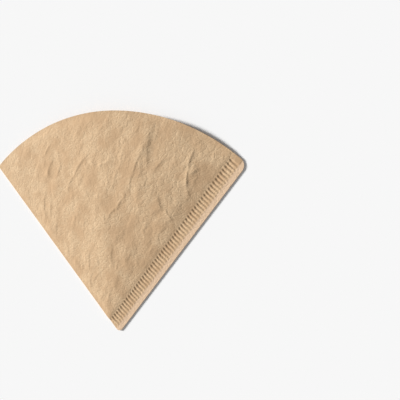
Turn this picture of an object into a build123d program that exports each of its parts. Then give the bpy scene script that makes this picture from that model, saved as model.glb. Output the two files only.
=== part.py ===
from build123d import *
import math
import os

# A cone coffee filter as it comes from the pack. One sheet of paper is folded in two down the left side,
# crimped shut with a row of teeth down the right side, and left open along the arc. It lies flat on its
# lower ply, with the mouth towards +Y and the seam towards +X.

# Driving dimensions, in millimetres and degrees
slant_length = 118.0  # from the pocket's bottom corner to the mouth, the same along every line of the cone
sector_angle = 79.5  # between the fold and the seam, lying flat
paper_thickness = 0.22
crimp_width = 5.3  # the toothed band, measured across the seam
lip_width = 3.5  # the plain strip outside the teeth
tooth_pitch = 2.06
tooth_height = 0.45  # the crests stand this far over the lip, level with the rim of the pocket
crest_width = 0.8
slot_width = 0.5  # the pressed slot between two teeth, at its bottom
slot_start = 0.45  # from the pocket's edge to the inner ends of the slots
crest_length = 1.2  # from the pocket's edge to where a tooth begins to sink
crest_end_height = 0.2  # what a tooth still stands over the lip where its short last slope begins
crest_end_run = 0.3
fold_margin = 0.8  # plain paper between the fold and the crimp
mouth_margin = 2.4  # the least between the middle of the last slot and the mouth
crease_flat = 0.04  # what a crease's rounding leaves flat down the middle of the folded edge
tip_radius = 2.5
lip_corner_radius = 4.5
slack_height = 3.3  # how far the upper ply rises at the middle of the mouth
mouth_wave = (0.0, 0.26, 0.52, 0.75, 0.92, 1.0, 0.84, 0.63, 0.56, 0.29, 0.0)  # its share, fold to seam

# Sizes that follow from them
half_angle = math.radians(sector_angle / 2)
pressed_height = 2 * paper_thickness
pocket_height = pressed_height + tooth_height
seam_width = crimp_width + lip_width
to_fold = Vector(-math.sin(half_angle), math.cos(half_angle), 0)
to_seam = Vector(math.sin(half_angle), math.cos(half_angle), 0)
across_seam = Vector(math.cos(half_angle), -math.sin(half_angle), 0)
corner = Vector(0, 0, 0)
tip = corner - to_fold * (seam_width / math.sin(2 * half_angle))
mouth_left = corner + to_fold * slant_length
mouth_middle = corner + Vector(0, slant_length, 0)
mouth_right = corner + to_seam * math.sqrt(slant_length**2 - seam_width**2) + across_seam * seam_width
past_mouth = (slant_length + 2 * seam_width) / math.cos(half_angle)
headroom = pocket_height + 2 * slack_height


def up_the_middle(inset):
    """The point on the pocket's middle line that lies this far in from both the fold and the seam."""
    return corner + Vector(0, inset / math.sin(half_angle), 0)


# The sheet's outline, folded: fold, mouth, rounded corner of the lip, seam's outer edge and rounded tip
with BuildSketch() as outline:
    with BuildLine():
        Line(tip, mouth_left)
        ThreePointArc(mouth_left, mouth_middle, mouth_right)
        Line(mouth_right, tip)
    make_face()
    fillet(outline.vertices().sort_by(Axis.Y)[0], tip_radius)
    fillet(outline.vertices().sort_by(Axis.X)[-1], lip_corner_radius)

# A slot's section across its length, with sloping sides
with BuildSketch() as slot_section:
    with BuildLine():
        Polyline(
            (-slot_width / 2, 0),
            (slot_width / 2, 0),
            ((tooth_pitch - crest_width) / 2, tooth_height),
            (-(tooth_pitch - crest_width) / 2, tooth_height),
            close=True,
        )
    make_face()

# The crimp, with +Y along the seam: a strip that sinks to the lip, parted into teeth by the slots
with BuildPart() as crimp:
    with BuildSketch(Plane.XZ.offset(-fold_margin)):
        with BuildLine():
            Polyline(
                (0, 0),
                (crimp_width, 0),
                (crimp_width - crest_end_run, crest_end_height),
                (crest_length, tooth_height),
                (0, tooth_height),
                close=True,
            )
        make_face()
    extrude(amount=-slant_length)
    slot_run = math.sqrt(slant_length**2 - crimp_width**2) - mouth_margin - fold_margin
    slot_count = math.floor(slot_run / tooth_pitch) + 1
    slot_places = [(fold_margin + tooth_pitch * slot, 0) for slot in range(slot_count)]
    with BuildSketch(Plane.YZ.offset(slot_start)):
        with Locations(*slot_places):
            add(slot_section.sketch)
    extrude(amount=crimp_width, mode=Mode.SUBTRACT)

# The hollows under the teeth, which begin where the slots do
with BuildPart() as tooth_hollows:
    add(crimp.part)
    split(bisect_by=Plane.YZ.offset(slot_start))

# The upper ply's slack, a cone over the mouth's wavy line with its point near the pocket's corner
cone_length = slant_length + seam_width
with BuildPart() as slack:
    with BuildSketch(Plane(origin=(0, cone_length, 0), x_dir=(1, 0, 0), z_dir=(0, -1, 0))) as cone_end:
        wave_points = []
        for place, share in enumerate(mouth_wave):
            turn = half_angle * (2 * place / (len(mouth_wave) - 1) - 1)
            growth = cone_length / (slant_length * math.cos(turn))
            wave_points.append((cone_length * math.tan(turn), slack_height * share * growth))
        with BuildLine():
            Spline(*wave_points)
            Line(wave_points[-1], wave_points[0])
        make_face()
    loft(sections=[cone_end.sketch, Vertex(0, 0, 0)], ruled=True)

# The room between the plies before the slack: as high as the teeth, and rounded inside the crease
with BuildPart() as pocket_room:
    room_corner = up_the_middle(paper_thickness)
    with BuildSketch(Plane.XY.offset(paper_thickness)):
        with BuildLine():
            Polyline(
                room_corner, room_corner + to_fold * past_mouth, room_corner + to_seam * past_mouth, close=True
            )
        make_face()
    extrude(amount=tooth_height)
    fillet(pocket_room.edges().filter_by(Axis(corner, to_fold)), (tooth_height - crease_flat) / 2)

# The seam, two plies pressed together, with the crease running on to the tip
with BuildPart() as pressed_seam:
    with BuildSketch():
        with BuildLine():
            Polyline(corner, corner + to_seam * past_mouth, tip + to_seam * past_mouth, tip, close=True)
        make_face()
    extrude(amount=pressed_height)
    fillet(pressed_seam.edges().filter_by(Axis(corner, to_fold)), (pressed_height - crease_flat) / 2)

with BuildPart() as paper_filter:
    # The pocket, both plies round the crease
    with BuildSketch():
        with BuildLine():
            Polyline(corner, corner + to_fold * past_mouth, corner + to_seam * past_mouth, close=True)
        make_face()
    extrude(amount=pocket_height)
    fillet(paper_filter.edges().filter_by(Axis(corner, to_fold)), (pocket_height - crease_flat) / 2)
    add(pressed_seam.part)

    # The teeth stand up from the top of the seam and are pushed in from below
    along_seam = Location(corner, (0, 0, -sector_angle / 2))
    with Locations(Location((0, 0, pressed_height)) * along_seam):
        add(crimp.part)
    with Locations(along_seam):
        add(tooth_hollows.part, mode=Mode.SUBTRACT)

    # The upper ply rises with its slack, and the pocket under it opens at the mouth
    slack_corner = up_the_middle(pocket_height / 2)
    with Locations(slack_corner + Vector(0, 0, pocket_height)):
        add(slack.part)
    add(pocket_room.part, mode=Mode.SUBTRACT)
    with Locations(slack_corner + Vector(0, 0, pocket_height - paper_thickness)):
        add(slack.part, mode=Mode.SUBTRACT)

    # Everything is cut to the outline in one stroke
    add(outline.sketch)
    extrude(amount=headroom, mode=Mode.INTERSECT)

# The origin goes to the middle of the underside
box = paper_filter.part.bounding_box()
paper_filter.part.position = (-box.center().X, -box.center().Y, -box.min.Z)
paper_filter.part.label = "paper_filter"

os.makedirs("parts", exist_ok=True)
export_step(paper_filter.part, "parts/paper_filter.step")
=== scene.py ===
"""Dresses the paper coffee filter: one sheet of unbleached crepe paper, folded, crimped and lying flat.

The sheet is one closed mesh. Its plies, crease, crimp and open mouth have the form of the solid that it
replaces, and it adds the paper's wrinkles. Sizes are in millimetres on the sheet, measured from the
pocket's bottom corner, and go to metres once, where the mesh is placed.
"""

import logging
import math
import random
from dataclasses import dataclass, field
from enum import Enum

import bmesh
import bpy
import numpy as np
from mathutils import Euler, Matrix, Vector, noise
from mathutils.geometry import delaunay_2d_cdt


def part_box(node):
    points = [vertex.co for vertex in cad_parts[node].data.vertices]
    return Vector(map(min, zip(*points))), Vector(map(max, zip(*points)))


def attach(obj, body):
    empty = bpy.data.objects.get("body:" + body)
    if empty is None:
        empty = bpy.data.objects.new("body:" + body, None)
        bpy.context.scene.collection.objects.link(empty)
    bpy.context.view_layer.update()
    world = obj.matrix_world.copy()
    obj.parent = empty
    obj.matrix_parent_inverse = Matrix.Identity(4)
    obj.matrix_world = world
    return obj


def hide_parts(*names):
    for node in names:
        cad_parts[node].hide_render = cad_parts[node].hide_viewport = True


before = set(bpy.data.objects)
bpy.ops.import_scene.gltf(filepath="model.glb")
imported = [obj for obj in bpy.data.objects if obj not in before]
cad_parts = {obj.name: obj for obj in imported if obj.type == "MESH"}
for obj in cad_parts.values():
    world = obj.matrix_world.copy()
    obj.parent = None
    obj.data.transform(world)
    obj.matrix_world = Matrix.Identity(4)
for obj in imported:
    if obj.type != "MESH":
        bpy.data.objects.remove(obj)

LOG = logging.getLogger("paper_filter")
MILLIMETRE = 0.001
NODE = "paper_filter"
BODY = "root"
INSIDE_RIM = 1  # asks the triangulation for the triangles inside the rim alone

Pair = tuple[float, float]
Colour = tuple[float, float, float]
Socket = bpy.types.NodeSocket
Feed = Socket | float | tuple[float, ...]


class Ply(Enum):
    """The two plies of the folded sheet."""

    LOWER = "lower"
    UPPER = "upper"


class Face(Enum):
    """The two faces of a ply."""

    INNER = "inner"
    OUTER = "outer"


class Mark(Enum):
    """Where the finish tones the sheet: a paler lip, and painted shade over the crimp, deepest in the slots.
    """

    PRESSED = "pressed"
    # painted shade over the crimp, deepest in the slots
    BITTEN = "painted_shade"


class Layer(Enum):
    """The layers of noise that the paper's relief is read from."""

    WARP_ACROSS = 1
    WARP_UP = 2
    FACETS = 3
    SWELLS = 4
    PATCHES = 5
    CREPE = 6
    PULP = 7


PointNumbers = dict[tuple[Ply, Face], np.ndarray]


def smooth_step(values: np.ndarray, start: float, end: float) -> np.ndarray:
    """Eases from 0 at start to 1 at end.

    Args:
        values: What is eased.
        start: The value where the step begins.
        end: The value where it is complete.

    Returns:
        The eased share at each value.
    """
    share = np.clip((values - start) / (end - start), 0.0, 1.0)
    return share * share * (3 - 2 * share)


def arc_points(centre: np.ndarray, radius: float, start: float, end: float, count: int) -> np.ndarray:
    """Spaces points evenly along an arc.

    Args:
        centre: The arc's centre.
        radius: Its radius.
        start: The bearing where it starts, in radians, clockwise from +Y.
        end: The bearing where it ends.
        count: How many stretches it is divided into.

    Returns:
        The points, both ends included.
    """
    bearings = np.linspace(start, end, count + 1)
    return centre + radius * np.column_stack((np.sin(bearings), np.cos(bearings)))


def vertex_places(mesh: bpy.types.Mesh) -> np.ndarray:
    """Reads the places of a mesh's vertices.

    Args:
        mesh: The mesh.

    Returns:
        One row of coordinates for each vertex.
    """
    places = np.empty(len(mesh.vertices) * 3)
    mesh.vertices.foreach_get("co", places)
    return places.reshape(-1, 3)


def placed(name: str, data: bpy.types.ID) -> bpy.types.Object:
    """Adds an object to the scene.

    Args:
        name: Its name.
        data: Its mesh, lamp or camera.

    Returns:
        The object.
    """
    added = bpy.data.objects.new(name, data)
    bpy.context.scene.collection.objects.link(added)
    return added


@dataclass
class FilterShape:
    """The folded filter's form: its outline, and the height of each face of each ply over the table."""

    slant_length: float = 118.0
    sector_angle: float = 79.5
    paper_thickness: float = 0.22
    crimp_width: float = 5.3
    lip_width: float = 3.5
    tooth_pitch: float = 2.06
    tooth_height: float = 0.45
    crest_width: float = 0.8
    slot_width: float = 0.5
    slot_start: float = 0.45
    fold_margin: float = 0.8
    mouth_margin: float = 2.4
    tip_radius: float = 2.5
    lip_corner_radius: float = 4.5
    slack_height: float = 3.3
    mouth_wave: tuple[float, ...] = (0.0, 0.26, 0.52, 0.75, 0.92, 1.0, 0.84, 0.63, 0.56, 0.29, 0.0)
    inner_seam: float = -0.35  # where the pocket's inside ends, short of the seam
    step_down: Pair = (-0.3, 0.06)  # where the pocket drops to the pressed seam
    crimp_start: Pair = (-0.12, 0.03)  # where the crimp sets in, in pitches from the first slot
    slot_ease: Pair = (-0.8, 0.75)  # the slope of a slot's inner end, either way from slot_start
    wall_ease: Pair = (0.18, 0.26)  # how far a slot's rounded walls pass its foot and its top
    slot_bite: float = 0.03  # how much thinner the die presses the paper at the bottom of a slot
    crest_line: tuple[Pair, ...] = ((-0.5, 0.45), (0.5, 0.43), (1.4, 0.37), (5.0, 0.15))
    crest_end: Pair = (5.1, 6.3)  # where a tooth's rounded end begins and meets the lip
    rim_swell: float = 0.1  # the low swell of the pocket beside the crimp
    rim_run: tuple[float, float, float] = (-0.1, 1.7, 8.0)  # where it starts, is highest and ends
    hollow_ease: float = 0.25  # the run in which the hollow under a tooth reaches its full height
    tooth_seed: int = 5
    slot_shift: float = 0.07  # how far a slot strays along the seam
    tooth_spread: float = 0.3  # how much further out the longest tooth reaches than the shortest

    half_angle: float = field(init=False)
    pressed_height: float = field(init=False)
    pocket_height: float = field(init=False)
    seam_width: float = field(init=False)
    bend_radius: float = field(init=False)
    to_fold: np.ndarray = field(init=False)
    off_fold: np.ndarray = field(init=False)
    to_seam: np.ndarray = field(init=False)
    across_seam: np.ndarray = field(init=False)
    tip_place: float = field(init=False)
    tip_centre: np.ndarray = field(init=False)
    lip_centre: np.ndarray = field(init=False)
    lip_bearing: float = field(init=False)
    slack_corner: np.ndarray = field(init=False)
    slot_count: int = field(init=False)
    slot_places: np.ndarray = field(init=False)
    tooth_reaches: np.ndarray = field(init=False)

    def __post_init__(self) -> None:
        """Works out the directions, levels and places that follow from the sizes."""
        self.half_angle = math.radians(self.sector_angle / 2)
        self.pressed_height = 2 * self.paper_thickness
        self.pocket_height = self.pressed_height + self.tooth_height
        self.seam_width = self.crimp_width + self.lip_width
        self.bend_radius = self.pocket_height / 2
        sine, cosine = math.sin(self.half_angle), math.cos(self.half_angle)
        self.to_fold = np.array((-sine, cosine))
        self.off_fold = np.array((cosine, sine))
        self.to_seam = np.array((sine, cosine))
        self.across_seam = np.array((cosine, -sine))
        self.tip_place = self.fold_place_at(self.seam_width - self.tip_radius, self.tip_radius)
        self.tip_centre = self.at_fold(self.tip_place, self.tip_radius)
        lip_reach = self.slant_length - self.lip_corner_radius
        lip_offset = self.seam_width - self.lip_corner_radius
        self.lip_centre = self.at_seam(math.sqrt(lip_reach**2 - lip_offset**2), lip_offset)
        self.lip_bearing = self.half_angle + math.asin(lip_offset / lip_reach)
        self.slack_corner = np.array((0.0, self.pocket_height / 2 / sine))
        crimp_run = math.sqrt(self.slant_length**2 - self.crimp_width**2)
        slot_run = crimp_run - self.mouth_margin - self.fold_margin
        self.slot_count = math.floor(slot_run / self.tooth_pitch) + 1
        draw = np.random.default_rng(self.tooth_seed)
        strays = draw.uniform(-self.slot_shift, self.slot_shift, self.slot_count)
        self.slot_places = self.fold_margin + self.tooth_pitch * np.arange(self.slot_count) + strays
        self.tooth_reaches = draw.uniform(0.0, self.tooth_spread, self.slot_count)

    def at_fold(self, along: np.ndarray | float, off: np.ndarray | float) -> np.ndarray:
        """The points this far along the fold and this far in from it."""
        return np.multiply.outer(along, self.to_fold) + np.multiply.outer(off, self.off_fold)

    def at_seam(self, along: np.ndarray | float, past: np.ndarray | float) -> np.ndarray:
        """The points this far along the seam and this far past it."""
        return np.multiply.outer(along, self.to_seam) + np.multiply.outer(past, self.across_seam)

    def fold_place_at(self, past: float, off: float) -> float:
        """How far along the fold a point lies, given how far it is past the seam and off the fold."""
        return (math.cos(2 * self.half_angle) * off - past) / math.sin(2 * self.half_angle)

    def mouth_depth(self, points: np.ndarray) -> np.ndarray:
        """How far points of the sheet lie in from the mouth."""
        return self.slant_length - np.hypot(points[:, 0], points[:, 1])

    def in_from_edges(self, points: np.ndarray) -> np.ndarray:
        """Measures how far points lie inside the outer faces' rim.

        Args:
            points: Points on the sheet.

        Returns:
            The distance to the nearest edge, negative outside.
        """
        off_fold = points @ self.off_fold - self.bend_radius
        in_seam = self.seam_width - points @ self.across_seam
        inside = np.minimum(np.minimum(off_fold, self.mouth_depth(points)), in_seam)
        lip_tangent = np.array((self.lip_centre[1], -self.lip_centre[0]))
        corners = (
            (self.tip_centre, self.tip_radius, -self.to_fold, -self.to_seam),
            (self.lip_centre, self.lip_corner_radius, self.to_seam, lip_tangent),
        )
        for centre, radius, one_way, other_way in corners:
            arm = points - centre
            beyond = (arm @ one_way > 0) & (arm @ other_way > 0)
            inside = np.where(beyond, np.minimum(inside, radius - np.hypot(arm[:, 0], arm[:, 1])), inside)
        return inside

    def slack(self, points: np.ndarray) -> np.ndarray:
        """Measures the upper ply's rise, a cone over the mouth's wavy line.

        Args:
            points: Points on the sheet.

        Returns:
            The rise at each point.
        """
        arm = points - self.slack_corner
        bearing = np.arctan2(arm[:, 0], arm[:, 1])
        rises = self.slack_height * np.array(self.mouth_wave)
        slopes = np.gradient(rises)
        last = len(rises) - 1
        place = np.clip((bearing / self.half_angle + 1) / 2, 0.0, 1.0) * last
        left = np.minimum(place.astype(int), last - 1)
        share = place - left
        rise = (
            rises[left] * (1 + 2 * share) * (1 - share) ** 2
            + slopes[left] * share * (1 - share) ** 2
            + rises[left + 1] * (3 - 2 * share) * share**2
            - slopes[left + 1] * (1 - share) * share**2
        )
        return np.maximum(rise, 0.0) * np.hypot(arm[:, 0], arm[:, 1]) / self.slant_length

    def crimp(self, points: np.ndarray) -> tuple[np.ndarray, np.ndarray]:
        """Measures the crimp over the pressed seam: a strip that sinks to the lip, and the slots in it.

        Args:
            points: Points on the sheet.

        Returns:
            The uncut strip's height at each point, and the share of it that a slot takes away.
        """
        along = points @ self.to_seam
        past = points @ self.across_seam
        place = (along - self.fold_margin) / self.tooth_pitch
        slot = np.clip(np.rint(place).astype(int), 0, self.slot_count - 1)
        tooth = np.clip(place.astype(int), 0, self.slot_count - 1)
        aside = np.abs(along - self.slot_places[slot])
        foot = self.slot_width / 2 - self.wall_ease[0]
        top = (self.tooth_pitch - self.crest_width) / 2 + self.wall_ease[1]
        out = past - self.tooth_reaches[tooth]
        present = (1 - smooth_step(out, *self.crest_end)) * smooth_step(place, *self.crimp_start)
        opened = smooth_step(past - self.slot_start, *self.slot_ease)
        slots = opened * (1 - smooth_step(aside, foot, top)) * present
        return np.interp(out, *zip(*self.crest_line)) * present, slots

    def outer_level(self, ply: Ply, points: np.ndarray) -> np.ndarray:
        """Gives the height of a ply's outer face before the paper's wrinkles.

        Args:
            ply: Which ply.
            points: Points on the sheet.

        Returns:
            The height over the table at each point.
        """
        past = points @ self.across_seam
        strip, slots = self.crimp(points)
        teeth = strip * (1 - slots)
        if ply is Ply.LOWER:
            return teeth * smooth_step(past - self.slot_start, 0.0, self.hollow_ease)
        start, middle, end = self.rim_run
        swell = self.rim_swell * smooth_step(-past, start, middle) * (1 - smooth_step(-past, middle, end))
        pocket = self.pocket_height + self.slack(points) + swell
        seam = smooth_step(past, *self.step_down)
        return pocket * (1 - seam) + (self.pressed_height + teeth - self.slot_bite * slots) * seam

    def inner_level(self, ply: Ply, points: np.ndarray) -> np.ndarray:
        """Gives the height of a ply's inner face before the paper's wrinkles.

        Args:
            ply: Which ply.
            points: Points on the sheet.

        Returns:
            The height over the table at each point.
        """
        if ply is Ply.LOWER:
            return np.full(len(points), self.paper_thickness)
        return self.pocket_height - self.paper_thickness + self.slack(points)


@dataclass(frozen=True)
class Crease:
    """One sharp wrinkle: where it starts and ends on the sheet, how high it stands and how wide it is."""

    start: Pair
    end: Pair
    height: float = 0.09
    sharp_side: float = 0.5
    gentle_side: float = 2.2
    bow: float = 0.06  # how far it bows aside, as a share of its length
    fade: Pair = (-0.08, 0.3)  # where either end's rise begins and is complete, as shares of its length
    rounding: float = 0.2  # how blunt the crest is

    def rise(self, points: np.ndarray) -> np.ndarray:
        """Measures the crease's rise over the paper round it.

        Args:
            points: Points on the sheet.

        Returns:
            The rise at each point.
        """
        start = np.array(self.start)
        run = np.array(self.end) - start
        length = float(np.hypot(*run))
        way = run / length
        arm = points - start
        along = arm @ way / length
        bow = self.bow * length * np.sin(math.pi * np.clip(along, 0.0, 1.0))
        aside = arm @ np.array((way[1], -way[0])) - bow
        width = np.where(aside > 0, self.gentle_side, self.sharp_side)
        fade = smooth_step(along, *self.fade) * smooth_step(1 - along, *self.fade)
        return self.height * fade * np.exp(self.rounding - np.sqrt((aside / width) ** 2 + self.rounding**2))


@dataclass
class PaperRelief:
    """The wrinkles that crepe paper keeps from its making and its folding."""

    seed: int
    strength: float = 1.0
    ridges: tuple[Crease, ...] = ()
    main_creases: tuple[Crease, ...] = ()
    crease_count: int = 170
    crease_bearing: float = 38.0  # the small creases start within this angle of the middle line
    crease_reach: float = 112.0  # and within this distance of the corner
    bare_share: float = 0.03  # the share of that area, next to the corner, where none starts
    crease_length: Pair = (3.0, 4.0)  # the shortest, and how much longer they are on average
    crease_height: Pair = (0.03, 0.09)
    crease_sharp_side: Pair = (0.35, 0.6)
    crease_gentle_side: Pair = (0.8, 2.4)
    grain: float = 66.0  # the wrinkles' heading, in degrees from +X
    grain_spread: float = 20.0
    swell_size: Pair = (11.0, 30.0)  # across the grain and along it, as every pair of sizes here
    swell_height: float = 0.26
    facet_size: Pair = (7.0, 14.0)
    facet_height: float = 0.16
    warp_size: Pair = (9.0, 9.0)
    warp_reach: float = 3.0  # how far the facets' valleys wander
    crepe_size: Pair = (1.5, 3.4)
    crepe_height: float = 0.075
    pulp_size: Pair = (1.1, 1.5)
    pulp_share: float = 0.5  # the pulp's height as a share of the crepe's
    patch_size: Pair = (14.0, 14.0)
    patch_mean: float = 0.65  # how strong the crepe is in the patches, on average
    patch_swing: float = 0.7
    patch_limits: Pair = (0.2, 1.2)
    seed_step: float = 17.3  # how far apart in the noise two seeds are read
    layer_step: float = 5.1  # how far apart two layers of a seed are

    def stretched(self, points: np.ndarray, size: Pair, layer: Layer) -> list[Vector]:
        """Turns sheet points into noise places that are longer along the grain than across it.

        Args:
            points: Points on the sheet.
            size: The pattern's size across and along the grain.
            layer: Which layer of the noise is read.

        Returns:
            One place in the noise for each point.
        """
        heading = math.radians(self.grain)
        along = points @ np.array((math.cos(heading), math.sin(heading))) / size[1]
        across = points @ np.array((math.sin(heading), -math.cos(heading))) / size[0]
        depth = self.seed_step * self.seed + self.layer_step * layer.value
        return [Vector((x, y, depth)) for x, y in zip(across.tolist(), along.tolist())]

    def waves(self, points: np.ndarray, size: Pair, layer: Layer) -> np.ndarray:
        """Smooth noise of this size, between about -1 and 1."""
        return np.array([noise.noise(place) for place in self.stretched(points, size, layer)])

    def rises(self, points: np.ndarray, size: Pair, layer: Layer) -> np.ndarray:
        """Smooth noise of this size, between about 0 and 1."""
        return 0.5 + 0.5 * self.waves(points, size, layer)

    def facets(self, points: np.ndarray) -> np.ndarray:
        """Makes the flat facets that meet in sharp valleys.

        Args:
            points: Points on the sheet.

        Returns:
            The facets' rise, from 0 in a valley to about 1.
        """
        warps = [self.waves(points, self.warp_size, layer) for layer in (Layer.WARP_ACROSS, Layer.WARP_UP)]
        bent = points + self.warp_reach * np.column_stack(warps)
        rise = []
        for place in self.stretched(bent, self.facet_size, Layer.FACETS):
            nearest = noise.voronoi(place)[0]
            rise.append(nearest[1] - nearest[0])
        return np.minimum(np.array(rise), 1.0)

    def scattered_creases(self) -> list[Crease]:
        """Draws the small creases that lie all over the sheet.

        Returns:
            The creases.
        """
        draw = random.Random(self.seed)
        shortest, longer = self.crease_length
        creases = []
        for _ in range(self.crease_count):
            bearing = math.radians(draw.uniform(-self.crease_bearing, self.crease_bearing))
            reach = self.crease_reach * math.sqrt(draw.uniform(self.bare_share, 1.0))
            heading = math.radians(draw.gauss(self.grain, self.grain_spread))
            length = shortest + draw.expovariate(1 / longer)
            start = (reach * math.sin(bearing), reach * math.cos(bearing))
            end = (start[0] + length * math.cos(heading), start[1] + length * math.sin(heading))
            if draw.random() < 0.5:
                start, end = end, start
            creases.append(
                Crease(
                    start,
                    end,
                    height=draw.uniform(*self.crease_height),
                    sharp_side=draw.uniform(*self.crease_sharp_side),
                    gentle_side=draw.uniform(*self.crease_gentle_side),
                )
            )
        return creases

    def broad(self, points: np.ndarray) -> np.ndarray:
        """Adds the swells, the facets and the broad ridges.

        Args:
            points: Points on the sheet.

        Returns:
            The rise at each point, never below zero.
        """
        total = self.swell_height * self.rises(points, self.swell_size, Layer.SWELLS)
        total += self.facet_height * self.facets(points)
        for ridge in self.ridges:
            total += ridge.rise(points)
        return self.strength * np.maximum(total, 0.0)

    def fine(self, points: np.ndarray) -> np.ndarray:
        """Adds the crepe and the creases.

        Args:
            points: Points on the sheet.

        Returns:
            The rise at each point, never below zero.
        """
        patches = self.patch_mean + self.patch_swing * self.waves(points, self.patch_size, Layer.PATCHES)
        crepe = self.crepe_height * self.rises(points, self.crepe_size, Layer.CREPE)
        pulp = np.abs(self.waves(points, self.pulp_size, Layer.PULP))
        crepe += self.pulp_share * self.crepe_height * pulp
        total = crepe * np.clip(patches, *self.patch_limits)
        for crease in (*self.main_creases, *self.scattered_creases()):
            total += crease.rise(points)
        return self.strength * np.maximum(total, 0.0)


RIDGES = (
    Crease((34, 116), (20, 62), height=0.9, sharp_side=8.0, gentle_side=30.0),
    Crease((58, 100), (-4, 24), height=0.6, sharp_side=12.0, gentle_side=60.0),
    Crease((62, 94), (32, 50), height=0.4, sharp_side=12.0, gentle_side=34.0),
)
MAIN_CREASES = (
    Crease((51, 84), (50, 73), height=0.26, gentle_side=1.0),
    Crease((55, 94), (51, 83), height=0.18),
    Crease((57, 84), (51, 79), height=0.16, gentle_side=1.2),
    Crease((50, 74), (52, 67), height=0.13),
    Crease((27, 96), (19, 81), height=0.2, gentle_side=3.0),
    Crease((19, 82), (17, 74), height=0.18),
    Crease((17, 75), (13, 68), height=0.17, gentle_side=3.0),
    Crease((12, 69), (8, 62), height=0.16),
    Crease((8, 64), (2, 58), height=0.17, gentle_side=1.2),
    Crease((37, 63), (41, 56), height=0.16, gentle_side=1.0),
    Crease((33, 71), (36, 61), height=0.18, gentle_side=4.0),
    Crease((39, 90), (31, 82), height=0.18),
    Crease((31, 106), (28, 84), height=0.3, sharp_side=1.3, gentle_side=5.0),
    Crease((-34, 102), (-39, 95), height=0.17, gentle_side=1.0),
    Crease((-9, 94), (-19, 82), height=0.25, gentle_side=1.6),
    Crease((-18, 84), (-24, 73), height=0.16),
    Crease((-32, 94), (-38, 83), height=0.17, gentle_side=3.0),
    Crease((-27, 90), (-30, 83), height=0.13),
    Crease((-7, 91), (-3, 88), height=0.16, gentle_side=1.0),
    Crease((-3, 88), (6, 91), height=0.16, gentle_side=1.2),
    Crease((-50, 76), (-37, 74), height=0.1, gentle_side=1.0),
    Crease((-40, 74), (-41, 58), height=0.2, gentle_side=3.4),
    Crease((-36, 69), (-37, 59), height=0.16),
    Crease((-11, 39), (-11.4, 28), height=0.16, gentle_side=2.5),
    Crease((-10.8, 26), (-11.4, 15), height=0.14),
    Crease((14, 45), (11.5, 32), height=0.2, sharp_side=1.3, gentle_side=3.0),
    Crease((10.5, 32), (3.5, 16), height=0.24, sharp_side=1.8, gentle_side=5.0),
    Crease((4.2, 42), (3.2, 32), height=0.13),
)


@dataclass
class ClosedMesh:
    """Gathers points and faces, and turns them into one closed mesh."""

    points: list[np.ndarray] = field(default_factory=list)
    faces: list[tuple[int, ...]] = field(default_factory=list)
    count: int = 0

    def add_points(self, places: np.ndarray, heights: np.ndarray) -> np.ndarray:
        """Adds points of the sheet at their heights.

        Args:
            places: The points on the sheet.
            heights: Their heights over the table.

        Returns:
            The new points' numbers.
        """
        self.points.append(np.column_stack((places, heights)))
        numbers = np.arange(self.count, self.count + len(places))
        self.count += len(places)
        return numbers

    def heights(self) -> np.ndarray:
        """The heights of all points so far."""
        return np.concatenate(self.points)[:, 2]

    def add_faces(self, numbers: np.ndarray, triangles: np.ndarray) -> None:
        """Adds triangles whose corners count within these points."""
        self.faces.extend(map(tuple, numbers[triangles].tolist()))

    def add_strip(self, one_row: np.ndarray, other_row: np.ndarray) -> None:
        """Joins two rows of points with a strip of four-sided faces."""
        rows = (one_row[:-1], one_row[1:], other_row[1:], other_row[:-1])
        self.faces.extend(map(tuple, np.column_stack(rows).tolist()))

    def add_fan(self, centre: int, rim: np.ndarray) -> None:
        """Joins a row of points to one point with a fan of triangles."""
        self.faces.extend((int(centre), int(one), int(other)) for one, other in zip(rim[:-1], rim[1:]))

    def build(self, name: str) -> bpy.types.Mesh:
        """Makes the mesh, with every face turned outwards.

        Args:
            name: The mesh's name.

        Returns:
            The mesh, still in millimetres.
        """
        mesh = bpy.data.meshes.new(name)
        mesh.from_pydata(np.concatenate(self.points).tolist(), [], self.faces)
        shell = bmesh.new()
        shell.from_mesh(mesh)
        bmesh.ops.recalc_face_normals(shell, faces=shell.faces)
        bmesh.ops.triangulate(shell, faces=shell.faces)
        shell.to_mesh(mesh)
        shell.free()
        return mesh


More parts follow.
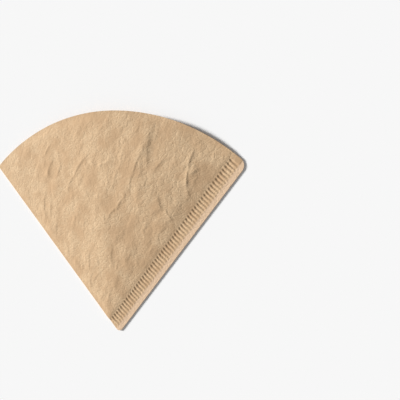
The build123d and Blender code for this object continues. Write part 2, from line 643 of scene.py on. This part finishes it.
@dataclass
class SheetMesher:
    """Lays points over the sheet and joins them into the faces of both plies."""

    shape: FilterShape
    reliefs: dict[Ply, PaperRelief]
    fold_spacing: float = 0.6
    mouth_spacing: float = 0.45
    slot_columns: tuple[float, ...] = (-0.78, -0.5, -0.25, 0.0, 0.25, 0.5, 0.78, 1.03)
    more_columns: tuple[int, int] = (5, 2)  # pitches that they go on before the first slot, after the last
    lip_spacing: float = 0.5
    bend_rows: int = 8
    corner_count: int = 12
    spacing: dict[Ply, float] = field(default_factory=lambda: {Ply.LOWER: 0.82, Ply.UPPER: 0.48})
    inner_spacing: float = 1.7
    inner_rim_spacing: float = 0.65
    inner_rim_depth: float = 7.0  # how far in from the mouth the inner faces have that spacing
    jitter: float = 0.16
    outer_seed: int = 11
    inner_seed: int = 12
    crimp_clearance: float = 0.13  # what the crimp's rows keep from the rim
    rim_clearance: float = 0.45  # what the other points keep from it, as a share of their spacing
    band_clearance: float = 0.5  # and from the crimp's first row
    merge_distance: float = 1e-6
    broad_run: Pair = (0.0, 8.0)  # how far inside the seam the swells begin and have their full height
    fine_run: Pair = (0.4, 2.6)  # the same for the crepe and the creases
    fold_run: float = 4.5  # how far in from the fold both have their full height
    mouth_run: float = 6.0  # and how far in from the mouth
    mouth_calm: float = 0.45  # the share of it that is left at the mouth
    inner_run: float = 1.0  # how far in from the mouth the inner faces repeat the crepe and creases in full
    rim_groove: float = 0.05  # the hairline between the two plies along the pressed edge
    crimp_rows: dict[Ply, tuple[float, ...]] = field(
        default_factory=lambda: {
            Ply.LOWER: (-0.9, -0.1, 0.4, 0.55, 0.7, 1.2, 2.2, 3.2, 4.2, 5.0, 5.6, 6.3, 7.4, 8.4),
            Ply.UPPER: (
                *(-1.1, -0.6, -0.25, 0.0, 0.2, 0.35, 0.5, 0.7, 1.0, 1.5, 2.1, 2.8),
                *(3.5, 4.2, 4.8, 5.1, 5.4, 5.7, 6.0, 6.3, 7.0, 7.8, 8.5),
            ),
        }
    )
    mesh: ClosedMesh = field(default_factory=ClosedMesh)

    fold_row: np.ndarray = field(init=False)
    mouth_row: np.ndarray = field(init=False)
    pressed_rim: np.ndarray = field(init=False)
    inner_fold_row: np.ndarray = field(init=False)
    inner_seam_row: np.ndarray = field(init=False)

    def make_rims(self) -> None:
        """Works out the rows of points along the fold, the mouth, the lip and the inside of the seam."""
        shape = self.shape
        bend = shape.bend_radius
        fold_count = round(shape.slant_length / self.fold_spacing)
        fold_end = self.mouth_place(bend)
        inner_start = shape.fold_place_at(shape.inner_seam, bend)
        self.fold_row = shape.at_fold(np.linspace(self.tip_arc_place(bend), fold_end, fold_count + 1), bend)
        self.inner_fold_row = shape.at_fold(np.linspace(inner_start, fold_end, fold_count + 1), bend)

        middle = np.zeros(2)
        reach = shape.slant_length
        fold_bearing = math.asin(bend / reach) - shape.half_angle
        seam_bearing = shape.half_angle + math.asin(shape.inner_seam / reach)
        pocket = round((seam_bearing - fold_bearing) * reach / self.mouth_spacing)
        self.mouth_row = arc_points(middle, reach, fold_bearing, seam_bearing, pocket)

        past_pocket = round((shape.lip_bearing - seam_bearing) * reach / (self.mouth_spacing / 2))
        lip_side = math.pi / 2 + shape.half_angle
        tip_end = 1.5 * math.pi - shape.half_angle - math.acos(1 - bend / shape.tip_radius)
        edge_ends = (float(shape.lip_centre @ shape.to_seam), float(shape.tip_centre @ shape.to_seam))
        edge_count = round((edge_ends[0] - edge_ends[1]) / self.lip_spacing)
        stretches = (
            arc_points(middle, reach, seam_bearing, shape.lip_bearing, past_pocket),
            arc_points(
                shape.lip_centre, shape.lip_corner_radius, shape.lip_bearing, lip_side, self.corner_count
            ),
            shape.at_seam(np.linspace(*edge_ends, edge_count + 1), shape.seam_width),
            arc_points(shape.tip_centre, shape.tip_radius, lip_side, tip_end, self.corner_count)[:-1],
        )
        self.pressed_rim = np.concatenate([stretch[1:] for stretch in stretches])

        seam_ends = (self.mouth_row[-1] @ shape.to_seam, self.inner_fold_row[0] @ shape.to_seam)
        seam_count = round((seam_ends[0] - seam_ends[1]) / self.inner_rim_spacing)
        seam_places = np.linspace(*seam_ends, seam_count + 1)[1:-1]
        self.inner_seam_row = shape.at_seam(seam_places, shape.inner_seam)

    def tip_arc_place(self, off: float) -> float:
        """How far along the fold the rounded tip reaches, this far in from the fold."""
        radius = self.shape.tip_radius
        return self.shape.tip_place - math.sqrt(radius**2 - (radius - off) ** 2)

    def mouth_place(self, off: float) -> float:
        """How far along the fold the mouth lies, this far in from the fold."""
        return math.sqrt(self.shape.slant_length**2 - off**2)

    def hexagonal(self, spacing: float, seed: int) -> np.ndarray:
        """Lays points in a slightly uneven honeycomb over the whole sheet.

        Args:
            spacing: The distance between neighbours.
            seed: The seed of the unevenness.

        Returns:
            The points, some of them outside the sheet.
        """
        reach = self.shape.slant_length
        row_step = spacing * math.sqrt(0.75)
        columns = np.arange(-reach, reach, spacing)
        rows = np.arange(-2 * self.shape.seam_width, reach, row_step)
        across, up = np.meshgrid(columns, rows)
        across = across + np.where(np.arange(len(rows)) % 2, spacing / 2, 0.0)[:, None]
        points = np.column_stack((across.ravel(), up.ravel()))
        draw = np.random.default_rng(seed)
        return points + draw.uniform(-self.jitter, self.jitter, points.shape) * spacing

    def outer_points(self, ply: Ply) -> np.ndarray:
        """Lays points over a ply's outer face, in columns along the crimp.

        Args:
            ply: Which ply.

        Returns:
            The points inside the rim.
        """
        shape = self.shape
        rows = self.crimp_rows[ply]
        spacing = self.spacing[ply]
        at_tip, at_mouth = self.more_columns
        before = shape.slot_places[0] - shape.tooth_pitch * np.arange(at_tip, 0, -1)
        after = shape.slot_places[-1] + shape.tooth_pitch * np.arange(1, at_mouth + 1)
        centres = np.concatenate((before, shape.slot_places, after))
        along, past = np.meshgrid(np.add.outer(centres, self.slot_columns), rows)
        band = shape.at_seam(along.ravel(), past.ravel())
        band = band[shape.in_from_edges(band) > self.crimp_clearance]
        spread = self.hexagonal(spacing, self.outer_seed)
        clear = shape.in_from_edges(spread) > spacing * self.rim_clearance
        clear &= spread @ shape.across_seam < rows[0] - spacing * self.band_clearance
        return np.concatenate((band, spread[clear]))

    def inner_points(self) -> np.ndarray:
        """Lays points over the pocket's inside, closer together near the mouth.

        Returns:
            The points inside the rim.
        """
        shape = self.shape
        kept = []
        for spacing, near_mouth in ((self.inner_rim_spacing, True), (self.inner_spacing, False)):
            points = self.hexagonal(spacing, self.inner_seed)
            depth = shape.mouth_depth(points)
            least = spacing * self.rim_clearance
            clear = (depth > least) & ((depth < self.inner_rim_depth) == near_mouth)
            clear &= points @ shape.off_fold - shape.bend_radius > least
            clear &= points @ shape.across_seam < shape.inner_seam - least
            kept.append(points[clear])
        return np.concatenate(kept)

    def triangulate(self, rim: np.ndarray, inside: np.ndarray) -> tuple[np.ndarray, np.ndarray]:
        """Joins the points of a face into triangles.

        Args:
            rim: The face's rim, as one closed row of points.
            inside: The points inside it.

        Returns:
            The points, rim first, and the triangles between them.
        """
        points = np.concatenate((rim, inside))
        loop = list(range(len(rim)))[::-1]
        made, _, triangles, origins, _, _ = delaunay_2d_cdt(
            [Vector(point) for point in points.tolist()], [], [loop], INSIDE_RIM, self.merge_distance
        )
        if len(made) != len(points) or any(origin != [place] for place, origin in enumerate(origins)):
            raise ValueError("two points of the sheet fell together")
        return points, np.array(triangles)

    def wrinkle_share(self, points: np.ndarray, seam_run: Pair) -> np.ndarray:
        """Fades the wrinkles out towards the crease and the crimp, and calms them at the mouth.

        Args:
            points: Points on the sheet.
            seam_run: How far inside the seam the wrinkles begin, and have their full height.

        Returns:
            The share of the wrinkles' rise that is left.
        """
        shape = self.shape
        off_fold = smooth_step(points @ shape.off_fold, shape.bend_radius, self.fold_run)
        off_seam = smooth_step(-(points @ shape.across_seam), *seam_run)
        off_mouth = smooth_step(shape.mouth_depth(points), 0.0, self.mouth_run)
        return off_fold * off_seam * (self.mouth_calm + (1 - self.mouth_calm) * off_mouth)

    def level(self, ply: Ply, face: Face, points: np.ndarray) -> np.ndarray:
        """Gives the height of a face, wrinkles included.

        Args:
            ply: Which ply.
            face: Which of its faces.
            points: Points on the sheet.

        Returns:
            The height over the table at each point.
        """
        relief = self.reliefs[ply]
        broad = relief.broad(points) * self.wrinkle_share(points, self.broad_run)
        fine = relief.fine(points) * self.wrinkle_share(points, self.fine_run)
        if face is Face.OUTER:
            return self.shape.outer_level(ply, points) + broad + fine
        near_mouth = 1 - smooth_step(self.shape.mouth_depth(points), self.inner_run, self.inner_rim_depth)
        return self.shape.inner_level(ply, points) + broad + fine * near_mouth

    def bend(
        self, row: np.ndarray, ends: tuple[np.ndarray, np.ndarray], inset: float
    ) -> tuple[np.ndarray, np.ndarray]:
        """Rounds one side of the crease, from the lower ply's row of points to the upper's.

        Args:
            row: The row of points on the sheet where the rounding starts.
            ends: The rows' point numbers in the mesh, lower ply first.
            inset: The paper's thickness for the inside of the crease, zero for the outside.

        Returns:
            The columns of points, from the lower ply to the upper, at the crease's start and at the mouth.
        """
        shape = self.shape
        lower, upper = ends
        heights = self.mesh.heights()
        middle = (heights[lower] + heights[upper]) / 2
        half = (heights[upper] - heights[lower]) / 2
        share = np.linspace(0, 1, len(row))
        rows = [lower]
        for turn in np.linspace(-math.pi / 2, math.pi / 2, self.bend_rows + 1)[1:-1]:
            off = shape.bend_radius - (shape.bend_radius - inset) * math.cos(turn)
            start = shape.fold_place_at(shape.inner_seam, off) if inset else self.tip_arc_place(off)
            places = shape.at_fold(start + (self.mouth_place(off) - start) * share, off)
            rows.append(self.mesh.add_points(places, middle + half * math.sin(turn)))
        rows.append(upper)
        for one_row, other_row in zip(rows[:-1], rows[1:]):
            self.mesh.add_strip(one_row, other_row)
        return np.array([numbers[0] for numbers in rows]), np.array([numbers[-1] for numbers in rows])

    def build(self, name: str) -> bpy.types.Mesh:
        """Builds the whole sheet.

        Args:
            name: The mesh's name.

        Returns:
            The closed mesh, in millimetres.
        """
        self.make_rims()
        outer_rim = np.concatenate((self.fold_row[:-1], self.mouth_row, self.pressed_rim))
        inner_rim = np.concatenate((self.inner_fold_row[:-1], self.mouth_row, self.inner_seam_row))
        faces: PointNumbers = {}
        for ply in Ply:
            for face, rim in ((Face.OUTER, outer_rim), (Face.INNER, inner_rim)):
                inside = self.outer_points(ply) if face is Face.OUTER else self.inner_points()
                points, triangles = self.triangulate(rim, inside)
                faces[ply, face] = self.mesh.add_points(points, self.level(ply, face, points))
                self.mesh.add_faces(faces[ply, face], triangles)
        fold_end = len(self.fold_row)
        pocket_end = fold_end - 1 + len(self.mouth_row)
        starts = {}
        mouth_ends = []
        for face, row, inset in (
            (Face.OUTER, self.fold_row, 0.0),
            (Face.INNER, self.inner_fold_row, self.shape.paper_thickness),
        ):
            ends = (faces[Ply.LOWER, face][:fold_end], faces[Ply.UPPER, face][:fold_end])
            starts[face], mouth_end = self.bend(row, ends, inset)
            mouth_ends.append(mouth_end)
        self.mesh.add_strip(*mouth_ends)
        for ply in Ply:
            self.mesh.add_strip(
                faces[ply, Face.OUTER][fold_end - 1 : pocket_end],
                faces[ply, Face.INNER][fold_end - 1 : pocket_end],
            )
        self.close_inner_seam(faces, starts[Face.INNER], pocket_end)
        self.close_pressed_rim(faces, starts[Face.OUTER], outer_rim, pocket_end)
        return self.mesh.build(name)

    def close_inner_seam(self, faces: PointNumbers, crease_start: np.ndarray, pocket_end: int) -> None:
        """Walls the pocket's inside off from the seam.

        Args:
            faces: The point numbers of each face, rim first.
            crease_start: The column of points where the crease meets the wall.
            pocket_end: How many rim points lie along the fold and the mouth.
        """
        rim_end = pocket_end + len(self.inner_seam_row)
        columns = []
        for ply in Ply:
            numbers = faces[ply, Face.INNER]
            columns.append(np.append(numbers[pocket_end - 1 : rim_end], numbers[0]))
        self.mesh.add_strip(*columns)
        self.mesh.add_fan(crease_start[0], crease_start[1:])

    def close_pressed_rim(
        self, faces: PointNumbers, tip_column: np.ndarray, outer_rim: np.ndarray, pocket_end: int
    ) -> None:
        """Closes the pressed edge, with a hairline where the two plies meet.

        Args:
            faces: The point numbers of each face, rim first.
            tip_column: The column of points where the crease meets the rounded tip.
            outer_rim: The outer faces' rim.
            pocket_end: How many rim points lie along the fold and the mouth.
        """
        rim_end = len(outer_rim)
        edge = outer_rim[pocket_end:rim_end]
        ring = np.concatenate((outer_rim[pocket_end - 1 : pocket_end], edge, outer_rim[:1]))
        outward = ring[2:] - ring[:-2]
        outward = np.column_stack((-outward[:, 1], outward[:, 0])) / np.hypot(*outward.T)[:, None]
        heights = self.mesh.heights()
        lower = faces[Ply.LOWER, Face.OUTER]
        upper = faces[Ply.UPPER, Face.OUTER]
        middle = (heights[lower[pocket_end:rim_end]] + heights[upper[pocket_end:rim_end]]) / 2
        groove = self.mesh.add_points(edge - outward * self.rim_groove, middle)
        for numbers in (lower, upper):
            self.mesh.add_strip(numbers[pocket_end:rim_end], groove)
        mouth_stack = (
            lower[pocket_end],
            lower[pocket_end - 1],
            faces[Ply.LOWER, Face.INNER][pocket_end - 1],
            faces[Ply.UPPER, Face.INNER][pocket_end - 1],
            upper[pocket_end - 1],
            upper[pocket_end],
        )
        self.mesh.add_fan(groove[0], np.array(mouth_stack))
        tip_stack = (lower[rim_end - 1], *tip_column, upper[rim_end - 1])
        self.mesh.add_fan(groove[-1], np.array(tip_stack))


@dataclass(frozen=True)
class NodeBench:
    """Adds nodes to one node tree and feeds their inputs."""

    tree: bpy.types.NodeTree
    mix_colours: tuple[int, int] = (6, 7)  # the colours among a Mix node's inputs
    mix_result: int = 2  # the mixed colour among its outputs

    def feed(self, socket: Socket, value: Feed) -> None:
        """Feeds an input.

        Args:
            socket: The input.
            value: Its value, or the output of another node.
        """
        if isinstance(value, Socket):
            self.tree.links.new(value, socket)
        else:
            socket.default_value = value

    def add(self, kind: str, feeds: dict[str | int, Feed], **settings: str) -> bpy.types.Node:
        """Adds a node.

        Args:
            kind: The node's type.
            feeds: What each of its inputs is fed with.
            settings: The node's own settings.

        Returns:
            The node.
        """
        node = self.tree.nodes.new(kind)
        for setting, choice in settings.items():
            setattr(node, setting, choice)
        for name, value in feeds.items():
            self.feed(node.inputs[name], value)
        return node

    def noise(self, place: Socket, scale: float, detail: float) -> Socket:
        """Adds noise of this scale and detail."""
        feeds = {"Vector": place, "Scale": scale, "Detail": detail}
        return self.add("ShaderNodeTexNoise", feeds).outputs["Fac"]

    def turned(self, place: Socket, heading: float, stretch: tuple[float, float, float]) -> Socket:
        """Adds a turn that brings this heading, in degrees, onto +X, and then a stretch."""
        feeds = {"Vector": place, "Rotation": (0.0, 0.0, math.radians(-heading)), "Scale": stretch}
        return self.add("ShaderNodeMapping", feeds).outputs["Vector"]

    def ramp(self, value: Socket, start: float, end: float) -> Socket:
        """Adds a smooth step from 0 at start to 1 at end."""
        feeds = {"Value": value, "From Min": start, "From Max": end}
        return self.add("ShaderNodeMapRange", feeds, interpolation_type="SMOOTHSTEP").outputs["Result"]

    def greater(self, first: Socket, second: Socket) -> Socket:
        """Adds the greater of two values."""
        return self.add("ShaderNodeMath", {0: first, 1: second}, operation="MAXIMUM").outputs["Value"]

    def mix(self, share: Socket, first: Colour | Socket, second: Colour | Socket) -> Socket:
        """Adds a mix of two colours.

        Args:
            share: The second colour's share.
            first: A colour, or the output of a node.
            second: A colour, or the output of a node.

        Returns:
            The mixed colour.
        """
        feeds: dict[str | int, Feed] = {"Factor": share}
        for name, colour in zip(self.mix_colours, (first, second)):
            feeds[name] = (*colour, 1.0) if isinstance(colour, tuple) else colour
        return self.add("ShaderNodeMix", feeds, data_type="RGBA").outputs[self.mix_result]

    def bump(self, height: Socket, relief: float, before: Socket | None) -> Socket:
        """Adds a bump.

        Args:
            height: Its height, from 0 to 1.
            relief: The height of 1, in metres.
            before: The normal of the bump it lies on, if there is one.

        Returns:
            The bumped normal.
        """
        feeds: dict[str | int, Feed] = {"Height": height, "Distance": relief}
        if before is not None:
            feeds["Normal"] = before
        return self.add("ShaderNodeBump", feeds).outputs["Normal"]


@dataclass(frozen=True)
class KraftPaper:
    """Unbleached crepe filter paper: matt, mottled and full of short fibres.

    A scale is how many of its patterns lie in a metre, and a relief is a height in metres.
    """

    pale: Colour = (0.73, 0.53, 0.33)
    tan: Colour = (0.61, 0.41, 0.24)
    # a paler tone along the lip
    pressed: Colour = (0.745, 0.535, 0.36)
    # painted shade for the crimp, darkest in the slots
    painted_shade: Colour = (0.5, 0.33, 0.19)
    fibre: Colour = (0.46, 0.30, 0.17)
    roughness: float = 0.88
    specular: float = 0.14
    grain: float = 66.0  # the fibres' heading, in degrees from +X
    cloud_scale: float = 110.0
    cloud_detail: float = 5.0
    cloud_limits: Pair = (0.35, 0.68)  # the noise from which the paper begins to turn tan, and is tan
    pulp_scale: float = 900.0
    pulp_detail: float = 3.0
    pulp_limits: Pair = (0.25, 0.95)
    pulp_relief: float = 0.00009
    fibre_scale: float = 420.0
    fibre_detail: float = 2.0
    fibre_stretch: float = 7.0
    fibre_limits: Pair = (0.6, 0.8)
    fibre_relief: float = 0.00004
    crinkle_scale: float = 290.0
    crinkle_stretch: float = 1.7
    crinkle_warp: float = 0.004
    crinkle_edge: float = 0.16  # how wide a crinkle is, as a share of the distance between two
    crinkle_limits: Pair = (0.4, 0.75)  # the cloud noise from which the crinkles begin to fade, and are gone
    crinkle_relief: float = 0.000042

    def material(self, name: str) -> bpy.types.Material:
        """Builds the paper's node material.

        Args:
            name: The material's name.

        Returns:
            The material.
        """
        material = bpy.data.materials.new(name)
        material.use_nodes = True
        bench = NodeBench(material.node_tree)
        place = bench.add("ShaderNodeTexCoord", {}).outputs["Object"]
        strands = bench.turned(place, self.grain, (1.0, self.fibre_stretch, self.fibre_stretch))
        clouds = bench.noise(place, self.cloud_scale, self.cloud_detail)
        pulp = bench.noise(place, self.pulp_scale, self.pulp_detail)
        fibres = bench.noise(strands, self.fibre_scale, self.fibre_detail)
        tone = bench.mix(bench.ramp(clouds, *self.cloud_limits), self.pale, self.tan)
        tone = bench.mix(bench.ramp(fibres, *self.fibre_limits), tone, self.fibre)
        tone = bench.mix(bench.ramp(pulp, *self.pulp_limits), tone, self.tan)
        # the paler lip, then painted shade over the crimp
        for mark, marked_tone in ((Mark.PRESSED, self.pressed), (Mark.BITTEN, self.painted_shade)):
            marked = bench.add("ShaderNodeAttribute", {}, attribute_name=mark.value)
            tone = bench.mix(marked.outputs["Fac"], tone, marked_tone)
        normal = bench.bump(pulp, self.pulp_relief, None)
        normal = bench.bump(fibres, self.fibre_relief, normal)
        normal = bench.bump(self.crinkles(bench, place, clouds), self.crinkle_relief, normal)
        shader = material.node_tree.nodes["Principled BSDF"]
        bench.feed(shader.inputs["Base Color"], tone)
        bench.feed(shader.inputs["Roughness"], self.roughness)
        bench.feed(shader.inputs["Specular IOR Level"], self.specular)
        bench.feed(shader.inputs["Normal"], normal)
        return material

    def crinkles(self, bench: NodeBench, place: Socket, clouds: Socket) -> Socket:
        """Adds the fine sharp crinkles between the creases, in patches.

        Args:
            bench: The material's bench.
            place: Where on the sheet, in metres.
            clouds: A noise that says where the crinkles are deep.

        Returns:
            The height, 0 in a crinkle's bottom and 1 between crinkles.
        """
        warp = bench.add("ShaderNodeTexNoise", {"Vector": place, "Scale": self.crinkle_scale / 2})
        reach = (self.crinkle_warp,) * 3
        bent = bench.add(
            "ShaderNodeVectorMath", {0: warp.outputs["Color"], 1: reach, 2: place}, operation="MULTIPLY_ADD"
        )
        across = bench.turned(bent.outputs["Vector"], self.grain, (1.0, self.crinkle_stretch, 1.0))
        feeds = {"Vector": across, "Scale": self.crinkle_scale}
        cells = bench.add("ShaderNodeTexVoronoi", feeds, feature="DISTANCE_TO_EDGE")
        height = bench.ramp(cells.outputs["Distance"], 0.0, self.crinkle_edge)
        return bench.greater(height, bench.ramp(clouds, *self.crinkle_limits))


@dataclass
class FoldedFilter:
    """The filter itself: one sheet, folded in two, crimped down one side and open along the arc."""

    shape: FilterShape = field(default_factory=FilterShape)
    finish: KraftPaper = field(default_factory=KraftPaper)
    reliefs: dict[Ply, PaperRelief] = field(
        default_factory=lambda: {
            Ply.LOWER: PaperRelief(seed=4, strength=0.6),
            Ply.UPPER: PaperRelief(seed=3, ridges=RIDGES, main_creases=MAIN_CREASES),
        }
    )
    pressed_ease: float = 0.9  # the run in which the crimp's painted shade sets in, and past it the lip turns pale
    crest_painted_shade: float = 0.2  # how much painted shade the top of a tooth takes on
    slot_painted_shade: float = 0.1  # how much more painted shade the bottom of a slot takes on
    sharp_edge: float = 60.0  # degrees between faces from which an edge shows as sharp
    name: str = "folded_sheet"

    def corner(self) -> Vector:
        """Finds the pocket's bottom corner in the frame.

        Returns:
            Its place, in metres.
        """
        low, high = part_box(NODE)
        reach = self.shape.slant_length * MILLIMETRE
        return Vector((low.x + reach * math.sin(self.shape.half_angle), high.y - reach, low.z))

    def mark_crimp(self, mesh: bpy.types.Mesh) -> None:
        """Marks the smooth lip, which the finish shows paler, and the crimp, where it paints shade, deepest
        in the slots.

        Args:
            mesh: The sheet's mesh, in millimetres.
        """
        points = vertex_places(mesh)[:, :2]
        past = points @ self.shape.across_seam
        lip_start = self.shape.crimp_width
        pressed = smooth_step(past, lip_start, lip_start + self.pressed_ease)
        # painted shade: a little over the whole crimp, more in the slots
        painted_shade = self.crest_painted_shade + self.slot_painted_shade * self.shape.crimp(points)[1]
        painted_shade *= smooth_step(past, 0.0, self.pressed_ease) * (1 - pressed)
        for mark, share in ((Mark.PRESSED, pressed), (Mark.BITTEN, painted_shade)):
            values = mesh.attributes.new(mark.value, "FLOAT", "POINT").data
            values.foreach_set("value", share.astype(np.float32))

    def build(self) -> bpy.types.Object:
        """Builds and dresses the sheet, and lays it where its solid lies.

        Returns:
            The finished piece.
        """
        mesh = SheetMesher(self.shape, self.reliefs).build(self.name)
        self.mark_crimp(mesh)
        laid = vertex_places(mesh) * MILLIMETRE + np.array(self.corner())
        mesh.vertices.foreach_set("co", laid.ravel())
        mesh.shade_smooth()
        mesh.set_sharp_from_angle(angle=math.radians(self.sharp_edge))
        mesh.materials.append(self.finish.material("crepe_paper"))
        mesh.update()
        piece = placed(self.name, mesh)
        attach(piece, BODY)
        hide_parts(NODE)
        return piece


@dataclass
class Studio:
    """The pale floor, the soft light from the upper left and the camera."""

    floor_size: float = 6.0
    floor_drop: float = 0.0001  # keeps the floor just clear of the sheet's underside
    floor_tone: float = 0.94
    sky_level: float = 0.27  # how much the sky lights the sheet
    backdrop_level: float = 0.93  # how bright the sky itself looks, which is as bright as the floor
    key_level: float = 0.72  # what the key adds to a level surface, where 1 is a colour as it is written
    key_bearing: float = 165.0  # degrees from +X, anticlockwise, where the light comes from
    key_elevation: float = 20.0
    key_softness: float = 13.0
    camera_place: tuple[float, float, float] = (128.3, 71.5, 211.5)  # millimetres from the pocket's corner
    camera_turn: tuple[float, float, float] = (-1.643, 18.798, -1.728)  # degrees about X, Y and Z
    sensor_width: float = 36.0
    lens: float = 38.26
    nearest_view: float = 0.01  # how far from the lens things begin to show, in metres

    def build_floor(self, height: float) -> None:
        """Lays the floor.

        Args:
            height: The height of the sheet's underside, in metres.
        """
        half = self.floor_size / 2
        mesh = bpy.data.meshes.new("floor")
        corners = [(-half, -half, 0), (half, -half, 0), (half, half, 0), (-half, half, 0)]
        mesh.from_pydata(corners, [], [(0, 1, 2, 3)])
        material = bpy.data.materials.new("pale_floor")
        material.use_nodes = True
        shader = material.node_tree.nodes["Principled BSDF"]
        shader.inputs["Base Color"].default_value = (self.floor_tone, self.floor_tone, self.floor_tone, 1.0)
        shader.inputs["Roughness"].default_value = 1.0
        shader.inputs["Specular IOR Level"].default_value = 0.0
        mesh.materials.append(material)
        floor = placed("floor", mesh)
        floor.location.z = height - self.floor_drop

    def build_key(self) -> None:
        """Hangs the raking key light."""
        lamp = bpy.data.lights.new("key", "SUN")
        rise = math.radians(self.key_elevation)
        bearing = math.radians(self.key_bearing)
        lamp.energy = math.pi * self.key_level / math.sin(rise)
        lamp.angle = math.radians(self.key_softness)
        level = math.cos(rise)
        towards = Vector((level * math.cos(bearing), level * math.sin(bearing), math.sin(rise)))
        placed("key", lamp).rotation_euler = towards.to_track_quat("Z", "Y").to_euler()

    def build_sky(self) -> None:
        """Sets the sky, which fills the shadows, and looks as pale as the floor where it is seen."""
        world = bpy.data.worlds.new("sky")
        world.use_nodes = True
        bench = NodeBench(world.node_tree)
        rays = bench.add("ShaderNodeLightPath", {}).outputs
        seen = bench.greater(rays["Is Camera Ray"], rays["Is Glossy Ray"])
        seen = bench.greater(seen, rays["Is Transmission Ray"])
        feeds = {"Value": seen, "To Min": self.sky_level, "To Max": self.backdrop_level}
        level = bench.add("ShaderNodeMapRange", feeds).outputs["Result"]
        background = world.node_tree.nodes["Background"]
        bench.feed(background.inputs["Color"], (1.0, 1.0, 1.0, 1.0))
        bench.feed(background.inputs["Strength"], level)
        bpy.context.scene.world = world

    def build_camera(self, corner: Vector) -> None:
        """Sets the camera over the sheet.

        Args:
            corner: The pocket's bottom corner in the frame, in metres.
        """
        lens = bpy.data.cameras.new("camera")
        lens.sensor_width = self.sensor_width
        lens.lens = self.lens
        lens.clip_start = self.nearest_view
        camera = placed("camera", lens)
        camera.location = corner + Vector(self.camera_place) * MILLIMETRE
        camera.rotation_euler = Euler(tuple(math.radians(turn) for turn in self.camera_turn))
        bpy.context.scene.camera = camera

    def build(self, corner: Vector) -> None:
        """Builds the floor, the light and the camera round the sheet.

        Args:
            corner: The pocket's bottom corner in the frame, in metres.
        """
        self.build_floor(corner.z)
        self.build_key()
        self.build_sky()
        self.build_camera(corner)
        bpy.context.scene.view_settings.view_transform = "Standard"


def main() -> None:
    """Builds the filter and its studio."""
    logging.basicConfig(level=logging.INFO, format="%(name)s: %(message)s")
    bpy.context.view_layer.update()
    folded = FoldedFilter()
    sheet = folded.build()
    LOG.info("%s: %d triangles", sheet.name, len(sheet.data.polygons))
    Studio().build(folded.corner())
    LOG.info("studio: floor, key light, sky and camera")


if __name__ == "__main__":
    main()
